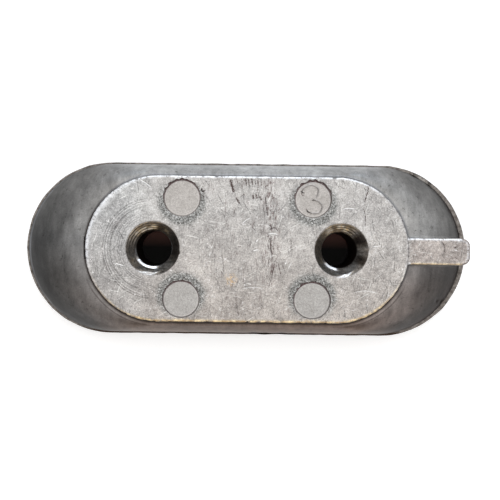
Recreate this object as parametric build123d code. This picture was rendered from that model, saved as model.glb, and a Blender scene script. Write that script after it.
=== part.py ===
from build123d import *
import math
import os

# A bolt-on sacrificial anode: one aluminium pressure die casting with two bored bolt holes.
# It lies on its front face with the mounting pad up. X runs along the length, with the
# locating tab at +X, and the origin is in the middle of the front face. Millimetres.

# Casting over the trimmed parting line
LENGTH = 101.9
WIDTH = 39.7
THICKNESS = 15.0

# Front half, from the front face up to the parting line
PARTING_HEIGHT = 6.3
FRONT_DRAFT = 3.0
FRONT_EDGE_RADIUS = 3.2
PARTING_LAND = 0.45
GATE_LAND = 1.0

# Mounting pad, set in from the outline, and the narrow ledge round its foot
PAD_END_MARGIN = 15.2
PAD_SIDE_MARGIN = 3.7
PAD_HEIGHT = 1.0
PAD_DRAFT = 4.0
PAD_EDGE_BREAK = 0.25
PAD_LEDGE = 0.9
PAD_ROOT_RADIUS = 0.7

# Shoulder between the parting line and the ledge: how far its arcs stand out from a straight slope
END_BULGE = 1.65
SIDE_BULGE = 0.5
SHOULDER_LEVELS = 7

# Bolt holes
HOLE_SPACING = 41.6
HOLE_DIAMETER = 8.0
CONE_DIAMETER = 11.8
CONE_ANGLE = 60.0
EXIT_CHAMFER = 0.5

# Ejector pin marks in the pad
PIN_DIAMETER = 8.0
PIN_DEPTH = 0.35
PIN_PITCH = 28.9
PIN_SIDE_MARGIN = 1.0

# Locating tab over the +X shoulder
TAB_SETBACK = 1.75
TAB_WIDTH = 5.8
TAB_DROP = 0.2
TAB_CORNER_RADIUS = 1.7
TAB_DRAFT = 3.0
TAB_EDGE_BREAK = 0.25
TAB_ROOT_RADIUS = 0.5
TAB_OVERLAP = 2.0

PAD_LENGTH = LENGTH - 2 * PAD_END_MARGIN
PAD_WIDTH = WIDTH - 2 * PAD_SIDE_MARGIN
LEDGE_LENGTH = PAD_LENGTH + 2 * PAD_LEDGE
LEDGE_WIDTH = PAD_WIDTH + 2 * PAD_LEDGE
SHOULDER_LENGTH = LENGTH - PARTING_LAND - GATE_LAND
SHOULDER_WIDTH = WIDTH - 2 * PARTING_LAND
SHOULDER_CENTRE = (PARTING_LAND - GATE_LAND) / 2
SHOULDER_TOP = THICKNESS - PAD_HEIGHT
SHOULDER_RISE = SHOULDER_TOP - PARTING_HEIGHT


def obround(length, width, height, centre=0.0):
    """A slot-shaped face with half-round ends, level at this height."""
    return Pos(centre, 0, height) * SlotOverall(length, width)


def arc_inset(run, rise, bulge, height):
    """How far an arc that climbs `rise` over `run` has come in at this height.

    The arc stands out by `bulge` from its chord, so it leaves the rim steeply and
    meets the ledge at a gentler slope.
    """
    chord = math.hypot(run, rise)
    radius = (chord**2 / 4 + bulge**2) / (2 * bulge)
    rim_slope = math.atan2(rise, run) + 2 * math.atan(2 * bulge / chord)
    slope = math.acos(math.cos(rim_slope) + height / radius)
    return radius * (math.sin(rim_slope) - math.sin(slope))


def shoulder():
    """The convex slope: obrounds that draw in from the rim to the ledge."""
    end_run = (SHOULDER_LENGTH - LEDGE_LENGTH) / 2
    side_run = (SHOULDER_WIDTH - LEDGE_WIDTH) / 2
    levels = []
    for level in range(SHOULDER_LEVELS + 1):
        share = level / SHOULDER_LEVELS
        height = SHOULDER_RISE * share
        length = SHOULDER_LENGTH - 2 * arc_inset(end_run, SHOULDER_RISE, END_BULGE, height)
        width = SHOULDER_WIDTH - 2 * arc_inset(side_run, SHOULDER_RISE, SIDE_BULGE, height)
        centre = SHOULDER_CENTRE * (1 - share)
        levels.append(obround(length, width, PARTING_HEIGHT + height, centre))
    return loft(levels)


def front_half():
    """The drafted block below the parting line, with its front edge rounded."""
    block = extrude(obround(LENGTH, WIDTH, PARTING_HEIGHT), amount=-PARTING_HEIGHT, taper=FRONT_DRAFT)
    return fillet(block.edges().group_by(Axis.Z)[0], FRONT_EDGE_RADIUS)


def pad():
    """The raised obround face that seats on the hull bracket."""
    foot = obround(PAD_LENGTH, PAD_WIDTH, SHOULDER_TOP)
    return extrude(foot, amount=PAD_HEIGHT, taper=PAD_DRAFT)


def tab():
    """The locating tab: a drafted rib that runs out from the pad, filled down to the shoulder."""
    top = THICKNESS - TAB_DROP
    start = PAD_LENGTH / 2 - TAB_OVERLAP
    end = LENGTH / 2 - TAB_SETBACK
    plan = Pos((start + end) / 2, 0, top) * Rectangle(end - start, TAB_WIDTH)
    plan = fillet(plan.vertices().group_by(Axis.X)[-1], TAB_CORNER_RADIUS)
    rib = extrude(plan, amount=-(top - PARTING_HEIGHT), taper=-TAB_DRAFT)
    return chamfer(rib.faces().sort_by(Axis.Z)[-1].edges(), TAB_EDGE_BREAK)


def bolt_holes():
    """Two through bores, each with a lead-in cone at the pad and a chamfer at the front."""
    cone_depth = (CONE_DIAMETER - HOLE_DIAMETER) / 2 / math.tan(math.radians(CONE_ANGLE / 2))
    bore_radius = HOLE_DIAMETER / 2
    outline = Polyline(
        (0, 0),
        (bore_radius + EXIT_CHAMFER, 0),
        (bore_radius, EXIT_CHAMFER),
        (bore_radius, THICKNESS - cone_depth),
        (CONE_DIAMETER / 2, THICKNESS),
        (0, THICKNESS),
        close=True,
    )
    cutter = revolve(Plane.XZ * make_face(outline), Axis.Z)
    return [place * cutter for place in GridLocations(HOLE_SPACING, 1, 2, 1)]


def pin_marks():
    """Four shallow round sinks where the ejector pins pushed on the pad."""
    sink = Pos(0, 0, THICKNESS - PIN_DEPTH) * extrude(Circle(PIN_DIAMETER / 2), amount=PIN_DEPTH)
    pitch_across = PAD_WIDTH - 2 * PIN_SIDE_MARGIN - PIN_DIAMETER
    return [place * sink for place in GridLocations(PIN_PITCH, pitch_across, 2, 2)]


def upper_half():
    """The shoulder with the pad on it, a root radius inside the ledge and the pad's edge broken."""
    body = shoulder() + pad()
    ledge = body.faces().filter_by(Plane.XY).sort_by(Axis.Z)[-2]
    wall = PAD_HEIGHT - PAD_EDGE_BREAK
    body = fillet(ledge.inner_wires().edges(), min(PAD_ROOT_RADIUS, wall, PAD_LEDGE))
    return chamfer(body.faces().sort_by(Axis.Z)[-1].edges(), PAD_EDGE_BREAK)


def with_tab(body):
    """The body with the tab fused on, and a root radius where its walls run into the shoulder."""
    rib = tab()
    joined = body + rib
    seams = new_edges(body, rib, combined=joined)
    return fillet(seams.filter_by_position(Axis.X, LEDGE_LENGTH / 2, LENGTH / 2), TAB_ROOT_RADIUS)


def anode_casting():
    """The whole casting, with its holes bored and its ejector pin marks sunk."""
    body = with_tab(front_half() + upper_half())
    return body - bolt_holes() - pin_marks()


os.makedirs("parts", exist_ok=True)
export_step(anode_casting(), "parts/anode_casting.step")
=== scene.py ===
import math

import bpy
import numpy as np
from mathutils.geometry import delaunay_2d_cdt
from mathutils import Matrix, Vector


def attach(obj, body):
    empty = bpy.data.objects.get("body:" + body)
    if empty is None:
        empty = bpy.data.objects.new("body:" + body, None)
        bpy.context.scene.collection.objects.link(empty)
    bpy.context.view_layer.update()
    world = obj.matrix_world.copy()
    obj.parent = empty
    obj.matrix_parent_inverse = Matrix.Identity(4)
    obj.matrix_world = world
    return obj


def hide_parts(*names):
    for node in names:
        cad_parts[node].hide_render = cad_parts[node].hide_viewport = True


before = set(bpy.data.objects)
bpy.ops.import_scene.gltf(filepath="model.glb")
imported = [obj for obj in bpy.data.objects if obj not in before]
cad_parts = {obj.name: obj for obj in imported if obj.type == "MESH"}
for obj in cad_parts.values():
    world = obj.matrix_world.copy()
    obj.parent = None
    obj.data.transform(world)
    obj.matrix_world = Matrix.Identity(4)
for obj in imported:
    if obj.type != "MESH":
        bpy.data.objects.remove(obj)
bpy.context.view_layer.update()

# ------------------------------------------------------------
# Camera: held level 150 mm over the mounting pad, a little to the left of its middle, and
# turned a touch, so the slopes at the ends show unequally.
camera_data = bpy.data.cameras.new("camera")
camera_data.sensor_width = 36.0
camera_data.lens = 49.1
camera_data.shift_x = 0.044
camera_data.shift_y = -0.0126
camera_data.clip_start = 0.01


def put_in_scene(name, data):
    """Makes an object that shows the data, and links it to the scene."""
    made = bpy.data.objects.new(name, data)
    bpy.context.scene.collection.objects.link(made)
    return made


camera = put_in_scene("camera", camera_data)
camera.location = (-0.0042, 0.0012, 0.165)
camera.rotation_euler = (0.0, 0.0, math.radians(0.7))
bpy.context.scene.camera = camera

# ------------------------------------------------------------
# Block: an aluminium pressure die casting, obround in plan. A drafted front half, a
# trimmed parting line all round, and a convex shoulder up to a narrow ledge. The skin is
# left as it came from the die. All sizes are in millimetres, until the mesh is stored.
LENGTH, WIDTH, THICKNESS = 101.9, 39.7, 15.0
PARTING_HEIGHT = 6.3
FRONT_DRAFT = math.radians(3.0)
FRONT_RADIUS = 3.2
FOOT_LENGTH, FOOT_WIDTH, FOOT_CENTRE = 100.45, 38.8, -0.275
PAD_LENGTH, PAD_WIDTH, PAD_HEIGHT = 71.5, 32.3, 1.0
LEDGE_LENGTH, LEDGE_WIDTH = 73.3, 34.1
RISE = THICKNESS - PAD_HEIGHT - PARTING_HEIGHT
END_BULGE, SIDE_BULGE = 1.65, 0.5
SHOULDER_ROWS = 34
STRAIGHT_COLUMNS, ROUND_COLUMNS = 172, 184

half_turn = np.linspace(-90, 90, ROUND_COLUMNS, endpoint=False)
run = np.linspace(-1, 1, STRAIGHT_COLUMNS, endpoint=False)
along = np.concatenate([run, np.ones(ROUND_COLUMNS), -run, -np.ones(ROUND_COLUMNS)])
facing = np.radians(
    np.concatenate([np.full(run.size, -90.0), half_turn, np.full(run.size, 90.0), half_turn + 180])
)
# The two tips of the outline stay where they are, so that the block keeps its length.
off_tips = np.abs(facing % np.pi) > 0.02


def slot_ring(length, width, centre=0.0):
    """Points round a slot: `along` slides the centre of the half-round, `facing` turns it."""
    reach = np.asarray(width) / 2
    x = centre + along * (length - width) / 2 + reach * np.cos(facing)
    return x, reach * np.sin(facing) + 0 * x


def drawn_in(x, y, depth):
    """Points of a slot's ring moved inwards by a depth."""
    return x - depth * np.cos(facing), y - depth * np.sin(facing)


def slot_distance(x, y, length, width, centre=0.0):
    """Distance outside a slot: from the line that joins its two half-round centres, less its radius."""
    beyond = np.maximum(np.abs(x - centre) - (length - width) / 2, 0)
    return np.hypot(beyond, y) - width / 2


def arc_inset(span, bulge, height):
    """How far an arc that climbs RISE over `span`, standing `bulge` off its chord, has come in."""
    chord = math.hypot(span, RISE)
    radius = (chord**2 / 4 + bulge**2) / (2 * bulge)
    rim_slope = math.atan2(RISE, span) + 2 * math.atan(2 * bulge / chord)
    slope = np.arccos(math.cos(rim_slope) + height / radius)
    return radius * (math.sin(rim_slope) - np.sin(slope))


def shoulder_slot(height):
    """Length, width and centre of the shoulder's section at a height above the parting line."""
    length = FOOT_LENGTH - 2 * arc_inset((FOOT_LENGTH - LEDGE_LENGTH) / 2, END_BULGE, height)
    width = FOOT_WIDTH - 2 * arc_inset((FOOT_WIDTH - LEDGE_WIDTH) / 2, SIDE_BULGE, height)
    return length, width, FOOT_CENTRE * (1 - height / RISE)


def shoulder_height(x, y):
    """Height of the shoulder over any point, by halving the range of sections it can lie on."""
    low, high = np.zeros_like(x), np.full_like(x, RISE)
    for _ in range(26):
        middle = (low + high) / 2
        inside = slot_distance(x, y, *shoulder_slot(middle)) < 0
        low, high = np.where(inside, middle, low), np.where(inside, high, middle)
    return PARTING_HEIGHT + low


WAVES, SWELL = 16, 5.6


def rolling(x, y, wave, seed):
    """Smooth unevenness about -1 to 1: the sum of plane waves near one wavelength, laid at random."""
    draw = np.random.default_rng(seed)
    heading = draw.uniform(0, 2 * np.pi, WAVES)
    number = 2 * np.pi / (wave * draw.uniform(0.7, 1.5, WAVES))
    start = draw.uniform(0, 2 * np.pi, WAVES)
    phase = np.multiply.outer(x, number * np.cos(heading))
    phase += np.multiply.outer(y, number * np.sin(heading)) + start
    return np.cos(phase).sum(-1) / SWELL


def bell(value, half, power=2):
    """1 at zero and falling off either side: e to the minus (value / half) to an even power."""
    return np.exp(-((value / half) ** power))


def rise(value, start, end):
    """A share that climbs evenly from 0 at `start` to 1 at `end`, and is held at both."""
    return np.clip((value - start) / (end - start), 0, 1)


# Which surface a corner is on, and what the rows below leave: plan, height, surface, ties, rim.
SKIN, PAD, DISC, CONE, BORE, LAND, TAB = range(7)
plan, level, finish, ties, border = [], [], [], [], []
laid = 0


def lay(x, y, z, zone, keep=None, closed=None, rim=-1):
    """Lays points on the upper side; `closed` True or False also ties each to the next kept one.

    `rim` numbers a ring that ends the upper side: the outline, or a bore.
    """
    global laid
    keep = np.ones(x.shape, bool) if keep is None else keep
    index = np.where(keep, laid + np.cumsum(keep) - 1, -1)
    plan.append(np.column_stack([x[keep], y[keep]]))
    level.append((z + 0 * x)[keep])
    finish.append(np.full(int(keep.sum()), zone))
    border.append(np.full(int(keep.sum()), rim))
    if closed is not None:
        pairs = np.column_stack([index, np.roll(index, -1)])
        pairs = pairs if closed else pairs[:-1]
        ties.append(pairs[(pairs >= 0).all(1)])
    laid += int(keep.sum())
    return index


# ------------------------------------------------------------
# Locating tab: a drafted rib cast with the block, from the pad out over the +X shoulder to
# just inside the rim. Its top edges are rounded and its walls run into the shoulder.
TAB_TOP = 14.8
TAB_START, TAB_END = 33.75, 49.2
TAB_HALF_WIDTH = 2.9
TAB_CORNER = 1.7
TAB_EDGE = 0.3
TAB_ROOT = 0.5
TAB_SLOPE = math.tan(math.radians(3.0))
TAB_GAP = 0.06
wall_top = TAB_TOP - TAB_EDGE

# The pad's own root radius, edge radius and lean, which the tab runs into above a level.
PAD_ROOT, PAD_EDGE, PAD_LEAN = 0.7, 0.26, 0.04
PAD_WALL_FROM = 14.2


def tab_distance(x, y):
    """Distance outside the tab's plan: a box with rounded +X corners, open towards the pad."""
    over_x = x - (TAB_END - TAB_CORNER)
    over_y = np.abs(y) - (TAB_HALF_WIDTH - TAB_CORNER)
    corner = np.hypot(np.maximum(over_x, 0), np.maximum(over_y, 0))
    return corner + np.minimum(np.maximum(over_x, over_y), 0) - TAB_CORNER


def pad_profile():
    """Offset from the pad's outline and height: root radius, drafted wall, rounded top edge."""
    root = np.radians(np.linspace(0, 86, 7))
    edge = np.radians(np.linspace(4, 90, 6))
    root_top, edge_foot = THICKNESS - PAD_HEIGHT + PAD_ROOT, THICKNESS - PAD_EDGE
    offset = np.concatenate([PAD_ROOT - PAD_ROOT * np.sin(root), -PAD_LEAN - PAD_EDGE + PAD_EDGE * np.cos(edge)])
    height = np.concatenate([root_top - PAD_ROOT * np.cos(root), edge_foot + PAD_EDGE * np.sin(edge)])
    return offset, height


pad_offset, pad_level = pad_profile()


def body_height(x, y):
    """Height of the block without its tab: the shoulder, or the pad where that is higher."""
    outside = slot_distance(x, y, PAD_LENGTH, PAD_WIDTH)
    pad = np.interp(-outside, -pad_offset, pad_level)
    return np.maximum(shoulder_height(x, y), np.where(outside < PAD_ROOT, pad, 0))


# The tab's top outline from the pad round its end and back: x, y and the normal of each point.
side = np.arange(TAB_START, TAB_END - TAB_CORNER, 0.24)
front = np.arange(-TAB_HALF_WIDTH + TAB_CORNER, TAB_HALF_WIDTH - TAB_CORNER, 0.22)
corner_nx, corner_ny = np.cos(np.radians(np.arange(-90, 0, 7.5))), np.sin(np.radians(np.arange(-90, 0, 7.5)))
corner_x = TAB_END - TAB_CORNER + TAB_CORNER * corner_nx
corner_y = TAB_CORNER - TAB_HALF_WIDTH + TAB_CORNER * corner_ny
one_side = np.hstack(
    [[side, 0 * side - TAB_HALF_WIDTH, 0 * side, 0 * side - 1], [corner_x, corner_y, corner_nx, corner_ny]]
)
tab_end = [0 * front + TAB_END, front, 0 * front + 1, 0 * front]
other_side = one_side[:, ::-1] * np.array([[1], [-1], [1], [-1]])
tab_x, tab_y, tab_nx, tab_ny = np.hstack([one_side, tab_end, other_side])


def beside_tab(offset):
    """Points that far outside the tab's top outline, along its normals."""
    return tab_x + offset * tab_nx, tab_y + offset * tab_ny


# How far out the drafted walls meet the block, by repeated guesses.
foot = np.zeros(tab_x.size)
for _ in range(20):
    foot = (wall_top - body_height(*beside_tab(foot))).clip(0) * TAB_SLOPE
ground = body_height(*beside_tab(foot))

# Rows of the tab: the rounded top edge, the drafted wall, and the root radius on the block.
round_over = np.radians(np.array([8, 30, 52, 74, 90]))
for offset, height in zip(TAB_EDGE * np.sin(round_over), TAB_EDGE * np.cos(round_over)):
    x, y = beside_tab(offset - TAB_EDGE)
    lay(x, y, wall_top + height, TAB, keep=body_height(x, y) < TAB_TOP - 0.02, closed=False)
wall_foot = (wall_top - ground - TAB_ROOT).clip(0) * TAB_SLOPE
for share in (0.25, 0.5, 0.75, 1.0):
    x, y = beside_tab(share * wall_foot)
    high = (wall_foot > 0.004) & (body_height(x, y) < PAD_WALL_FROM)
    lay(x, y, wall_top - share * wall_foot / TAB_SLOPE, SKIN, keep=high, closed=False)
for reach in (0.03, 0.08, 0.16, 0.26, 0.38, 0.5):
    x, y = beside_tab(foot + reach)
    under = body_height(x, y)
    fillet = TAB_ROOT - math.sqrt(TAB_ROOT**2 - (TAB_ROOT - reach) ** 2)
    clear = (under < PAD_WALL_FROM) & (under + fillet < wall_top)
    lay(x, y, under + fillet, SKIN, keep=clear, closed=False)


def under_tab(x, y, z):
    """True where the tab or its root radius covers the block."""
    reach = (wall_top - z).clip(0) * TAB_SLOPE + TAB_ROOT + TAB_GAP
    return (x > TAB_START) & (tab_distance(x, y) < reach) & (z < TAB_TOP - 0.001)


# Outline and shoulder rows, drawn in from the trimmed parting line to the ledge.
outline_x, outline_y = slot_ring(LENGTH, WIDTH)
trim = 0.06 + 0.05 * rolling(outline_x, outline_y, 6.0, 3) + 0.012 * rolling(outline_x, outline_y, 2.2, 4)
trim = trim.clip(0, 0.16) * off_tips
outline = lay(*drawn_in(outline_x, outline_y, trim), PARTING_HEIGHT, LAND, closed=True, rim=0)
rows = RISE * np.linspace(0, 1, SHOULDER_ROWS) ** 1.25
for row, height in enumerate(rows):
    x, y = slot_ring(*shoulder_slot(height))
    z = PARTING_HEIGHT + height + 0 * x
    lay(x, y, z, LAND if row == 0 else SKIN, keep=~under_tab(x, y, z), closed=True)

# ------------------------------------------------------------
# Mounting pad: the raised flat that seats on the bracket, with a root radius at its foot
# and a broken top edge. It is worn bright and its edge is nicked by handling.
PAD_FLAT_FROM = 14.74
for offset, height in zip(pad_offset, pad_level):
    x, y = slot_ring(PAD_LENGTH + 2 * offset, PAD_WIDTH + 2 * offset)
    worn = 0.05 * rolling(x, y, 2.6, 11) + 0.035 * rolling(x, y, 0.9, 12)
    nicks = (rolling(x, y, 1.7, 13) - 0.75).clip(0) * 0.35
    inward = (0.05 + worn + nicks).clip(0, 0.3) * (0.3 + 0.7 * (height > 14.6))
    x, y = drawn_in(x, y, inward)
    z = height + 0 * x
    lay(x, y, z, PAD if height > PAD_FLAT_FROM else SKIN, keep=~under_tab(x, y, z), closed=True)

# ------------------------------------------------------------
# Bolt holes: two plain through bores, each opened at the pad by a cone that a countersink
# cut with some chatter. The cutter left steps, flats, worn shelves and a nick at the rim.
HOLE_X = 20.8
BORE_RADIUS, CONE_RADIUS = 4.0, 5.9
CONE_BOTTOM = THICKNESS - (CONE_RADIUS - BORE_RADIUS) / math.tan(math.radians(30.0))
RIM_LEVEL = THICKNESS - 0.06
BORE_SHELF, RIM_SHELF = math.tan(math.radians(28.0)), math.tan(math.radians(19.0))
BORE_SHELF_FROM, RIM_SHELF_TO = 0.7, 0.5
HOLE_COLUMNS, CONE_ROWS = 144, 31
CONE_STEPS = 4
around = np.linspace(0, 2 * np.pi, HOLE_COLUMNS, endpoint=False)
bore_rings, cone_tones = [], []


def circle(centre_x, centre_y, radius, angles):
    """Points round a centre, at one radius or one for each angle."""
    return centre_x + radius * np.cos(angles), centre_y + radius * np.sin(angles)


def stepped(share, torn):
    """Depth share of the cone: shallow treads with steep risers, as deep as `torn`, that wind round."""
    part = (share * CONE_STEPS + around / (2 * np.pi)) % 1
    tread = np.where(part < 0.8, part * 0.3, 0.24 + (part - 0.8) * 3.8)
    hold = min(1.0, share * 12, (1 - share) * 12)
    return share + hold * torn * (tread - part) / CONE_STEPS


def worn_level(share, by_bore, by_rim):
    """Height down the cone, dished to a shallower shelf beside the bore and at the rim by two weights."""
    run_in, fall = CONE_RADIUS - BORE_RADIUS, RIM_LEVEL - CONE_BOTTOM
    level_at = RIM_LEVEL - fall * share
    beside_bore = RIM_LEVEL - fall * BORE_SHELF_FROM - run_in * (share - BORE_SHELF_FROM) * BORE_SHELF
    if BORE_SHELF_FROM < share < 1:
        level_at = level_at + by_bore * (beside_bore - level_at)
    beside_rim = RIM_LEVEL - run_in * share * RIM_SHELF
    if share < RIM_SHELF_TO:
        level_at = level_at + by_rim * (beside_rim - level_at) * min(1.0, (RIM_SHELF_TO - share) * 6)
    return level_at


def turned_from(bearing):
    """Angle between each column and a bearing in degrees, wrapped to half a turn either way."""
    return (around - math.radians(bearing) + np.pi) % (2 * np.pi) - np.pi


# Each patch on a cone: bearing and half spread in degrees, depth share and half spread, then how
# much lighter, how bright (a painted highlight) and how brown (a painted warm reflection) it is.
# The first two also set where the shelves are.
left_patches = (
    (-112, 40, 0.9, 0.16, 0, 1, 0), (-107, 20, 0.14, 0.28, 0.2, 0.25, 0),
    (-165, 16, 0.93, 0.08, 0.6, 0.5, 0), (8, 24, 0.98, 0.05, 0.6, 0.7, 0),
    (100, 52, 0.5, 0.6, -0.5, 0, 1), (119, 9, 0.62, 0.2, 2, 0.2, 0),
    (101, 7, 0.75, 0.15, 2, 0.25, 0), (89, 7, 0.55, 0.2, 1.8, 0.2, 0),
    (136, 9, 0.5, 0.2, 1.6, 0.1, 0), (52, 7, 0.57, 0.18, 1.8, 0, 0.4),
    (2, 42, 0.5, 0.6, -0.8, 0, 0.2), (-47, 13, 0.5, 0.5, 0.5, 0.1, 0),
    (-142, 14, 0.35, 0.3, 0.2, 0.1, 0.5), (176, 22, 0.5, 0.6, -0.3, 0, 0.15),
    (-75, 12, 0.5, 0.5, 0.2, 0.2, 0),
)
right_patches = (
    (-118, 25, 0.82, 0.22, 0, 1, 0), (-89, 15, 0.16, 0.3, 0.2, 0.5, 0),
    (-57, 18, 0.4, 0.5, 0.9, 0.4, 0), (98, 45, 0.5, 0.6, -0.5, 0, 1),
    (121, 9, 0.5, 0.25, 2, 0.25, 0), (91, 8, 0.35, 0.2, 1.8, 0.2, 0),
    (76, 8, 0.6, 0.2, 1.2, 0.1, 0), (62, 18, 0.96, 0.06, 2, 0.2, 0.5),
    (28, 18, 0.5, 0.6, -0.9, 0, 0.3), (-4, 9, 0.6, 0.4, 0.6, 0.1, 0),
    (-26, 12, 0.4, 0.5, -0.7, 0, 0.2), (178, 35, 0.5, 0.6, -0.2, 0, 0.35),
    (-150, 8, 0.6, 0.2, 0.6, 0.1, 0.5),
)
# Each hole: where it is, its seed, the bearings of its nick and of its torn steps, its patches.
for hole_x, seed, nick_at, torn_at, patches in (
    (-HOLE_X, 21, -9.0, 122.0, left_patches), (HOLE_X, 22, 4.0, 100.0, right_patches)
):
    (bore_at, bore_spread), (rim_at, rim_spread) = patches[0][:2], patches[1][:2]
    draw = np.random.default_rng(seed)
    flats = np.searchsorted(np.sort(draw.uniform(0, 2 * np.pi, 19)), around)
    flat_tone = draw.uniform(-1, 1, 20)[flats]
    flat_tone = (np.roll(flat_tone, 1) + flat_tone + np.roll(flat_tone, -1)) / 3
    chatter = sum(
        draw.uniform(0.3, 1.0) * np.cos(lobes * around + draw.uniform(0, 6.28)) for lobes in (2, 5, 7, 11)
    ) / 3
    nick = bell(turned_from(nick_at), 0.05)
    torn = 0.7 * bell(turned_from(torn_at), 0.95, 4)
    lip = CONE_RADIUS + 0.1 + 0.03 * chatter + 0.3 * nick
    lay(*circle(hole_x, 0, lip, around), THICKNESS, PAD, closed=True)
    for row in range(CONE_ROWS):
        share = row / (CONE_ROWS - 1)
        wave = (0.05 * chatter + 0.04 * flat_tone) * math.sin(math.pi * share)
        radius = CONE_RADIUS + (BORE_RADIUS - CONE_RADIUS) * share
        radius = radius + (wave + 0.25 * nick * (1 - share) ** 3) * (share < 1)
        by_bore = bell(turned_from(bore_at), math.radians(bore_spread), 6)
        by_rim = bell(turned_from(rim_at + 30 * share), math.radians(rim_spread))
        z = worn_level(share, by_bore, by_rim) + (CONE_BOTTOM - RIM_LEVEL) * (stepped(share, torn) - share)
        rim = 1 + len(bore_rings) if share == 1 else -1
        x, y = circle(hole_x, 0, radius, around)
        ring = lay(x, y, z, CONE, closed=True, rim=rim)
        mottle = rolling(x + 3 * share, y, 0.9, 23)
        tone = np.column_stack([0.3 * flat_tone + 0.3 * mottle, 0 * around, 0 * around])
        for bearing, spread, depth, half, dull, bright, brown in patches:
            reach = (turned_from(bearing) / math.radians(spread)) ** 4 + ((share - depth) / half) ** 4
            tone += np.outer(np.exp(-reach) * (1 + 0.35 * mottle), (dull, bright, brown))
        cone_tones.append((ring, tone.clip((-1, 0, 0), 1)))
    bore_rings.append(ring)

# ------------------------------------------------------------
# Ejector pin marks: four flat discs a little below the pad, left by the pins that pushed
# the casting out, each with the fine groove that the pin's fit leaves round it. The groove
# has painted shadow on its +Y side and a painted highlight inside it on the -Y side.
PIN_X, PIN_Y = 14.45, 11.15
PIN_RADIUS = 4.0
PIN_FLOOR = 14.66
pin_centres = [(sx * PIN_X, sy * PIN_Y) for sx in (-1, 1) for sy in (-1, 1)]
pin_around = np.linspace(0, 2 * np.pi, 112, endpoint=False)
# Rows into the groove: past the pin's radius, below the pad, surface, how dark (painted shadow), how bright (painted
# highlight).
pin_rows = (
    (0.09, 0.0, PAD, 0, 0), (0.02, -0.07, DISC, 1, 0), (-0.02, -0.39, DISC, 1, 0), (-0.1, -0.4, DISC, 1, 0),
    (-0.2, -0.34, DISC, 0, 0.7),
)
groove_rings = []
for number, (pin_x, pin_y) in enumerate(pin_centres):
    ragged = rolling(4 * np.cos(pin_around) + 30 * number, 4 * np.sin(pin_around), 1.1, 31)
    shadow_side = (0.45 + 0.6 * np.cos(pin_around - math.radians(100.0))).clip(0, 1)
    widen = 0.34 * shadow_side * (0.5 + 0.5 * ragged).clip(0.08, 1)
    for grow, drop, zone, dark, bright in pin_rows:
        radius = PIN_RADIUS + grow + (widen + 0.05 * ragged.clip(0) if grow > -0.05 else 0)
        ring = lay(*circle(pin_x, pin_y, radius, pin_around), THICKNESS + drop, zone, closed=True)
        groove_rings.append((ring, np.column_stack([dark * (0.4 + 0.6 * shadow_side), bright * (1 - shadow_side)])))

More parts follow.
